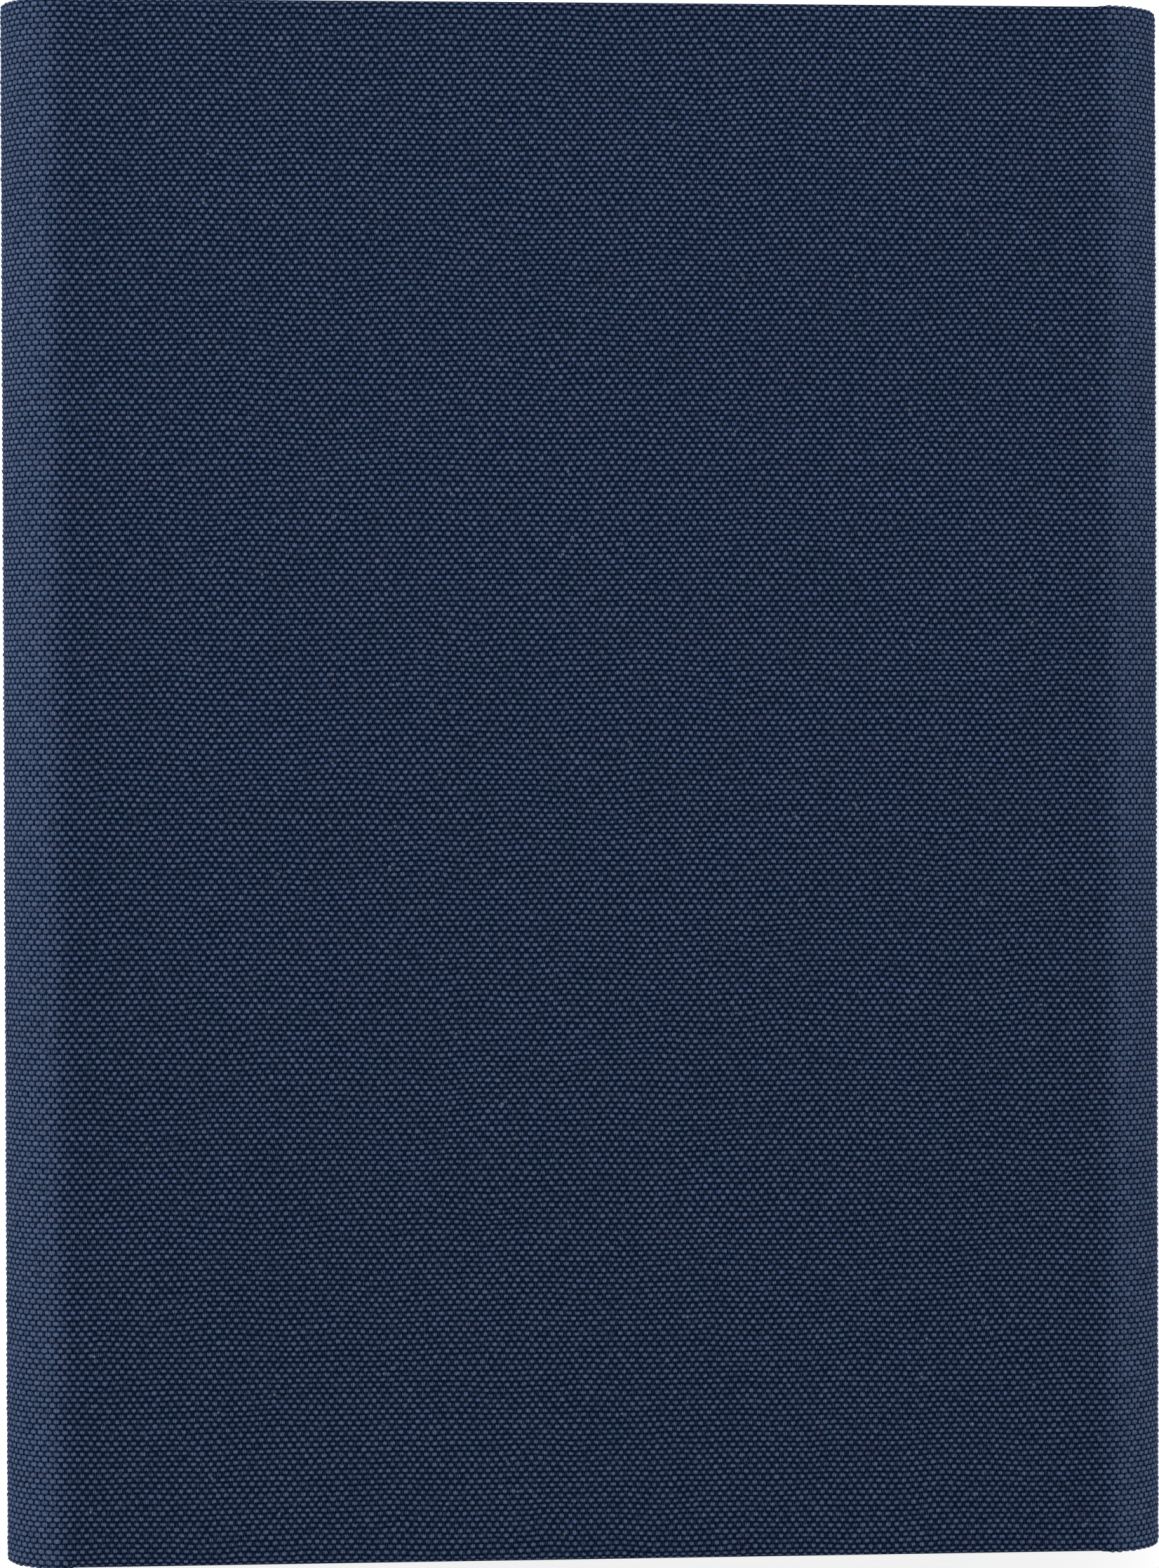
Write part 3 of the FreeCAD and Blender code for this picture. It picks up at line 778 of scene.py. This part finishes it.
def liningPanel(panel):
    body, length, origin, along, inward, freeTurnIn = panels[panel]
    bm = bmesh.new()
    half = halfHeight - coverSize["turnIn"] + liningLook["cover"]
    farEnd = length - (freeTurnIn - liningLook["cover"] if freeTurnIn else 0.0)
    level = panelThick + liningLook["proud"]
    bmesh.ops.create_grid(bm, x_segments=24, y_segments=24, size=0.5)
    bmesh.ops.scale(bm, verts=bm.verts, vec=(farEnd, 2 * half, 1))
    bmesh.ops.translate(bm, verts=bm.verts, vec=(farEnd / 2, 0, level))
    drop = level - 2 * coverSize["clothThick"]
    # at a hinge the lining turns down over the board's end to the fold
    for end in ([0.0] if freeTurnIn else [0.0, farEnd]):
        bmesh.ops.translate(bm, verts=extruded(bm, edgesAt(bm, end)), vec=(0, 0, -drop))
    bmesh.ops.recalc_face_normals(bm, faces=bm.faces)
    bm.normal_update()
    middle = max(bm.faces, key=lambda f: f.calc_center_median().z)
    if middle.normal.z < 0:
        bmesh.ops.reverse_faces(bm, faces=bm.faces)
    placeBy(bm, axes(origin, along, inward))
    piece = solidify(newPiece(panel + "Lining", bm, liningCloth, 50.0), liningLook["thick"])
    wearNode(piece, body, panel + "_lining")
    farEnd + drop * (1 if freeTurnIn else 2)
    panel + "_board"


for panel in panels:
    liningPanel(panel)
print("linings made")


# The lip that the flap closes on: a cloth-covered board standing along the fore-edge

def makeLip():
    low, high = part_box("lip_cloth")
    bm = bmesh.new()
    slab(bm, low.x, high.x, low.y, high.y, low.z, high.z)
    under = [face for face in bm.faces if face.normal.z < -0.9]
    bmesh.ops.delete(bm, geom=under, context="FACES")
    upper = [edge for edge in bm.edges if max(vert.co.z for vert in edge.verts) > low.z + tiny]
    roundEdges(bm, upper, 0.9 * mm, 4)
    bm.normal_update()
    layer = bm.loops.layers.uv.new(weave["mapName"])
    for face in bm.faces:
        for loop in face.loops:
            co = loop.vert.co
            depth = (co.x - low.x) * abs(face.normal.z) + (co.z - low.z)
            loop[layer].uv = ((depth * sign(face.normal.x)) / mm + coverSize["mapShift"], co.y / mm)
    piece = newPiece("lipCloth", bm, coverCloth)
    wearNode(piece, "back_cover", "lip_cloth")


makeLip()
print("lip made")


# Leaves. Each sheaf is a stack of sheets punched at the rings, which sag beyond the ring housing.

leafLook = {
    "width": 145.0 * mm,
    "sheet": 0.19 * mm,
    "card": 0.4 * mm,
    "cornerRound": 3.0 * mm,
    "holeMargin": 6.5 * mm,    # hole centre to the punched edge
    "holeShift": 1.2 * mm,     # hole centre outside the ring wire
    "holeSides": 20,
    "holeRadius": 2.7 * mm,
    "wideHoleRadius": 3.0 * mm,
    "backSag": 5.4 * mm,       # how far the leaves come down beyond the ring housing
    "turnedSag": 2.7 * mm,
    "tabReach": 2.0 * mm,
    "tabHalf": 13.0 * mm,
    "tabRound": 1.6 * mm,
    "sagRun": 45.0 * mm,       # the length over which they do
    "sagCuts": 10,
    "strayAlong": 0.35 * mm,   # how unevenly the sheets are jogged
    "strayOut": 0.25 * mm,
    "curl": 0.04 * mm,         # height of the slow waves across a sheet
    "curlTurns": 31.0,
    "curlStart": 60.0 * mm,
    "curlRun": 80.0 * mm,
    "seed": 11,
}
ringLook = {
    "wireRadius": 1.2 * mm,
    "footAngle": math.radians(35.0),   # below the centre, where the wire runs into its straight foot
    "places": [place * mm for place in (-73.0, -54.0, -35.0, 35.0, 54.0, 73.0)],
}

leafTurn = [joint for joint in frame["joints"] if joint["name"] == "leaf_turn"][0]
ringCentre = Vector(leafTurn["pos_m"])
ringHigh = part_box("right_half_rings")[1]
ringRadius = ((ringHigh.z - ringCentre.z) + (ringHigh.x - ringCentre.x)) / 2 - ringLook["wireRadius"]
footTop = ringCentre.z - ringRadius * math.sin(ringLook["footAngle"])
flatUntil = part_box("ring_housing")[1].x + 1.0 * mm
sheetsLow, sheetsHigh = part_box("upper_log_sheets")
leafHeight = sheetsHigh.y - sheetsLow.y
leafWidth = leafLook["width"]
sagRun = leafLook["sagRun"]


def leafStart(z):
    # where a leaf's punched edge lies, so that its holes follow the wire up
    if z < footTop:
        footAngle = ringLook["footAngle"]
        offset = ringRadius * math.cos(footAngle) - (footTop - z) * math.tan(footAngle)
    else:
        offset = math.sqrt(max(0.0, ringRadius ** 2 - (z - ringCentre.z) ** 2))
    return ringCentre.x + offset + leafLook["holeShift"] - leafLook["holeMargin"]


def smooth(share):
    share = min(1.0, max(0.0, share))
    return share * share * (3 - 2 * share)


def cutAcross(bm, place, normal):
    bmesh.ops.bisect_plane(bm, geom=bm.verts[:] + bm.edges[:] + bm.faces[:], dist=1e-7,
                           plane_co=place, plane_no=normal)


def roundFarCorners(bm, x, thick, radius):
    # the upright edges beyond x
    corners = [edge for edge in uprightEdges(bm, thick / 2) if edge.verts[0].co.x > x]
    roundEdges(bm, corners, radius, 5)


def punchedSheet(name, thick, holeRadius, tab=None):
    # one flat sheet with its punched edge at x = 0, its holes, and a divider's tab
    bm = bmesh.new()
    slab(bm, 0, leafWidth, -leafHeight / 2, leafHeight / 2, 0, thick)
    roundFarCorners(bm, leafWidth / 2, thick, leafLook["cornerRound"])
    sheet = newPiece(name, bm, logPaper, 40.0)
    cutter = bmesh.new()
    for y in ringLook["places"]:
        made = bmesh.ops.create_cone(cutter, cap_ends=True, segments=leafLook["holeSides"],
                                     radius1=holeRadius, radius2=holeRadius, depth=6 * mm)["verts"]
        bmesh.ops.translate(cutter, verts=made, vec=(leafLook["holeMargin"], y, 0))
    bm = bmesh.new()
    shaped = cutFrom(sheet, cutter)
    bm.from_mesh(shaped)
    bpy.data.meshes.remove(shaped)
    bpy.data.objects.remove(sheet)
    if tab:
        tabBm = bmesh.new()
        slab(tabBm, leafWidth - 0.01 * mm, leafWidth + leafLook["tabReach"],
             tab - leafLook["tabHalf"], tab + leafLook["tabHalf"], 0, thick)
        roundFarCorners(tabBm, leafWidth, thick, leafLook["tabRound"])
        holder = newPiece(name + "Tab", tabBm, logPaper)
        bm.from_mesh(holder.data)
        bpy.data.objects.remove(holder)
    firstCut = flatUntil - leafStart(ringCentre.z) - 2 * mm
    for index in range(leafLook["sagCuts"] + 1):
        cutAcross(bm, (firstCut + index * (sagRun + 6 * mm) / leafLook["sagCuts"], 0, 0), (1, 0, 0))
    for y in range(-80, 81, 20):
        cutAcross(bm, (0, y * mm, 0), (0, 1, 0))
    bm.normal_update()
    return bm


def sheaf(name, cadNode, body, sheet, thick, sag, count, holeRadius, material, tab=None):
    # count sheets stacked to this thickness, which come down by sag beyond the housing
    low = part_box(cadNode)[0].z + sag
    source = punchedSheet(name, sheet, holeRadius, tab)
    pattern = bpy.data.meshes.new(name + "Pattern")
    source.to_mesh(pattern)
    source.free()
    bm = bmesh.new()
    pageMap = bm.loops.layers.uv.new(paperLook["mapName"])
    edgeMap = bm.loops.layers.uv.new(paperLook["edgeMapName"])
    lift = (thick - sheet) / max(1, count - 1)
    loose = count > 1
    stray = random.Random(leafLook["seed"] + count)
    for index in range(count):
        firstVert = len(bm.verts)
        firstFace = len(bm.faces)
        bm.from_mesh(pattern)
        bm.verts.ensure_lookup_table()
        bm.faces.ensure_lookup_table()
        z = low + lift * index
        strayX = stray.uniform(-1, 0.6) * leafLook["strayOut"] if loose else 0.0
        strayY = stray.uniform(-1, 1) * leafLook["strayAlong"] if loose else 0.0
        curl = stray.uniform(0.0, 1.0) * (leafLook["curl"] if loose else 0.0)
        for face in bm.faces[firstFace:]:
            isEdge = abs(face.normal.z) <= 0.5
            for loop in face.loops:
                co = loop.vert.co
                if isEdge:
                    loop[pageMap].uv = ((co.x + co.y) / mm, (co.z + lift * index) / mm)
                else:
                    loop[pageMap].uv = (co.x / mm, co.y / mm)
                loop[edgeMap].uv = (1.0 if isEdge else 0.0, 0.0)
        start = leafStart(z + sheet / 2)
        for vert in bm.verts[firstVert:]:
            co = vert.co
            x = co.x + start + strayX
            drop = sag * smooth((x - flatUntil) / sagRun)
            wave = curl * math.sin(co.y * leafLook["curlTurns"] + index)
            wave *= smooth((co.x - leafLook["curlStart"]) / leafLook["curlRun"])
            vert.co = Vector((x, co.y + strayY, z + co.z - drop + wave))
    piece = newPiece(name, bm, material)
    bpy.data.meshes.remove(pattern)
    wearNode(piece, body, cadNode)


def makeLeaves():
    narrow = leafLook["holeRadius"]
    wide = leafLook["wideHoleRadius"]
    deepSag = leafLook["backSag"]
    for cadNode, name, body, count, holeRadius, sag in (
            ("lower_log_sheets", "lowerLogSheets", "back_cover", 14, narrow, deepSag),
            ("middle_log_sheets", "middleLogSheets", "back_cover", 14, wide, deepSag),
            ("upper_log_sheets", "upperLogSheets", "turned_leaves", 17, wide, leafLook["turnedSag"])):
        boxLow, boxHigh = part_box(cadNode)
        sheaf(name, cadNode, body, leafLook["sheet"], boxHigh.z - boxLow.z - sag, sag, count,
              holeRadius, logPaper)
    for cadNode, name, holeRadius, tab in (
            ("section_divider_a", "sectionDividerA", narrow, 60 * mm),
            ("section_divider_b", "sectionDividerB", wide, 20 * mm)):
        sheaf(name, cadNode, "back_cover", leafLook["card"], leafLook["card"], deepSag, 1, holeRadius,
              dividerCard, tab)


makeLeaves()
print("leaves made")


# Pockets inside the front cover

pocketLook = {
    "edgeRound": 0.16 * mm,
    "cornerRound": 3.0 * mm,
    "notchRadius": 11.0 * mm,
    "windowEdge": 1.5 * mm,    # film behind the leather, round the window
    "windowRound": 2.0 * mm,
    "filmRound": 2.5 * mm,
    "stitchLength": 2.4 * mm,
    "stitchPitch": 3.4 * mm,
    "stitchThick": 0.42 * mm,
    "stitchInset": 2.2 * mm,
}


def stitchRow(bm, start, end, level):
    # a row of short raised stitches along a straight seam
    run = end - start
    count = max(1, int(run.length / pocketLook["stitchPitch"]))
    thick = pocketLook["stitchThick"]
    lie = Matrix.Rotation(math.pi / 2, 3, "Y")
    turn = Matrix.Rotation(math.atan2(run.y, run.x), 3, "Z")
    for index in range(count):
        spot = start + run * ((index + 0.5) / count)
        made = bmesh.ops.create_uvsphere(bm, u_segments=6, v_segments=4, radius=0.5)["verts"]
        bmesh.ops.scale(bm, verts=made, vec=(thick, thick * 0.6, pocketLook["stitchLength"]))
        bmesh.ops.rotate(bm, verts=made, cent=(0, 0, 0), matrix=lie)
        bmesh.ops.rotate(bm, verts=made, cent=(0, 0, 0), matrix=turn)
        bmesh.ops.translate(bm, verts=made, vec=(spot.x, spot.y, level))


def stitchPocket(bm, low, high, level):
    # down one side of a pocket, along its foot and up the other side
    inset = pocketLook["stitchInset"]
    corners = [Vector(corner) for corner in (
        (low.x + inset, high.y - inset, 0), (low.x + inset, low.y + inset, 0),
        (high.x - inset, low.y + inset, 0), (high.x - inset, high.y - inset, 0))]
    for start, end in zip(corners, corners[1:]):
        stitchRow(bm, start, end, level)


def pocketPanel(name, cadNode, notchAt=None, hole=None):
    low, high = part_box(cadNode)
    bm = bmesh.new()
    slab(bm, low.x, high.x, low.y, high.y, low.z, high.z - 0.05 * mm)
    roundEdges(bm, uprightEdges(bm, 0.1 * mm), pocketLook["cornerRound"], 5)
    piece = newPiece(name, bm, leather)
    area = (high.x - low.x) * (high.y - low.y)
    cutter = bmesh.new()
    if notchAt:
        radius = pocketLook["notchRadius"]
        made = bmesh.ops.create_cone(cutter, cap_ends=True, segments=40, radius1=radius,
                                     radius2=radius, depth=8 * mm)["verts"]
        bmesh.ops.translate(cutter, verts=made, vec=(notchAt[0], notchAt[1], low.z))
    if hole:
        slab(cutter, hole[0].x, hole[1].x, hole[0].y, hole[1].y, low.z - 2 * mm, high.z + 2 * mm)
        roundEdges(cutter, uprightEdges(cutter, 1 * mm), pocketLook["windowRound"], 4)
        area -= (hole[1].x - hole[0].x) * (hole[1].y - hole[0].y)
    piece.data = cutFrom(piece, cutter)
    edge = piece.modifiers.new("rounding", "BEVEL")
    edge.width = pocketLook["edgeRound"]
    edge.segments = 2
    edge.limit_method = "ANGLE"
    edge.angle_limit = math.radians(40)
    wearNode(piece, "front_cover", cadNode)


def makePockets():
    low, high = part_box("document_pocket")
    level = low.z + 0.02 * mm
    pocketPanel("documentPocket", "document_pocket", notchAt=((low.x + high.x) / 2, high.y))
    stitches = bmesh.new()
    stitchPocket(stitches, low, high, level)
    windowLow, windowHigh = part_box("licence_window")
    low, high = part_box("licence_pocket")
    edge = Vector((1, 1, 0)) * pocketLook["windowEdge"]
    pocketPanel("licencePocket", "licence_pocket", hole=(windowLow + edge, windowHigh - edge))
    stitchPocket(stitches, low, high, level)
    wearNode(newPiece("pocketStitches", stitches, stitchThread, 60.0), "front_cover")

    bm = bmesh.new()
    slab(bm, windowLow.x, windowHigh.x, windowLow.y, windowHigh.y, windowLow.z + 0.1 * mm, windowHigh.z)
    roundEdges(bm, uprightEdges(bm, 0.05 * mm), pocketLook["filmRound"], 4)
    film = newPiece("licenceWindowFilm", bm, clearFilm)
    wearNode(film, "front_cover", "licence_window")


makePockets()
print("pockets made")


# Metal parts and boards keep their CAD shapes and take a finish

nodeFinish = (
    (nickel, ("ring_housing", "housing_rivets", "left_half_rings", "right_half_rings", "head_lever",
              "tail_lever")),
    (steel, ("left_blade", "right_blade", "lever_pins", "lip_keepers")),
    (magnetPlate, ("flap_magnets",)),
    (greyboard, ("back_board", "front_board", "spine_board", "flap_board", "lip_board")),
)
for material, nodeNames in nodeFinish:
    for nodeName in nodeNames:
        node = frame["nodes"][nodeName]
        node.data.materials.clear()
        node.data.materials.append(material)
print("metal and boards finished")


# Floor, light and camera

studio = {
    "floorSize": 60.0,
    "floorDrop": 0.2 * mm,     # below the cover, clear of its cloth
    "floorColour": rgb(0.86, 0.86, 0.86),
    "floorGlow": 0.62,
    "worldStrength": 0.45,
    "keyPower": 6.2,
    "keyPlace": (-0.35, 0.60, 0.95),
    "keySize": 0.9,
    "cameraPlace": (-0.0462, 0.0058, 0.6985),
    "cameraTurn": (-0.0089, -0.0674, -0.0036),   # radians, from straight down
    "lens": 99.07,
    "sensor": 36.0,
}


def makeFloor():
    finish = Finish("studioFloor", Roughness=0.9, Emission_Strength=studio["floorGlow"])
    finish.shader.inputs["Base Color"].default_value = studio["floorColour"]
    finish.shader.inputs["Emission Color"].default_value = rgb(1, 1, 1)
    bm = bmesh.new()
    bmesh.ops.create_grid(bm, x_segments=1, y_segments=1, size=studio["floorSize"])
    bmesh.ops.translate(bm, verts=bm.verts, vec=(0, 0, base - studio["floorDrop"]))
    floor = newPiece("studioFloor", bm, finish.material)


def makeLight():
    world = bpy.data.worlds.new("studioWorld")
    bpy.context.scene.world = world
    world.use_nodes = True
    background = world.node_tree.nodes["Background"]
    background.inputs["Color"].default_value = rgb(1, 1, 1)
    background.inputs["Strength"].default_value = studio["worldStrength"]
    lamp = bpy.data.lights.new("keyLight", "AREA")
    lamp.shape = "DISK"
    lamp.size = studio["keySize"]
    lamp.energy = studio["keyPower"]
    key = bpy.data.objects.new("keyLight", lamp)
    key.location = studio["keyPlace"]
    key.rotation_euler = (-Vector(studio["keyPlace"])).to_track_quat("-Z", "Y").to_euler()
    bpy.context.scene.collection.objects.link(key)


def makeCamera():
    data = bpy.data.cameras.new("camera")
    data.lens = studio["lens"]
    data.sensor_width = studio["sensor"]
    data.sensor_fit = "AUTO"
    camera = bpy.data.objects.new("camera", data)
    camera.location = studio["cameraPlace"]
    camera.rotation_euler = studio["cameraTurn"]
    bpy.context.scene.collection.objects.link(camera)
    bpy.context.scene.camera = camera


makeFloor()
makeLight()
makeCamera()
bpy.context.scene.view_settings.view_transform = "Standard"
print("stage made")
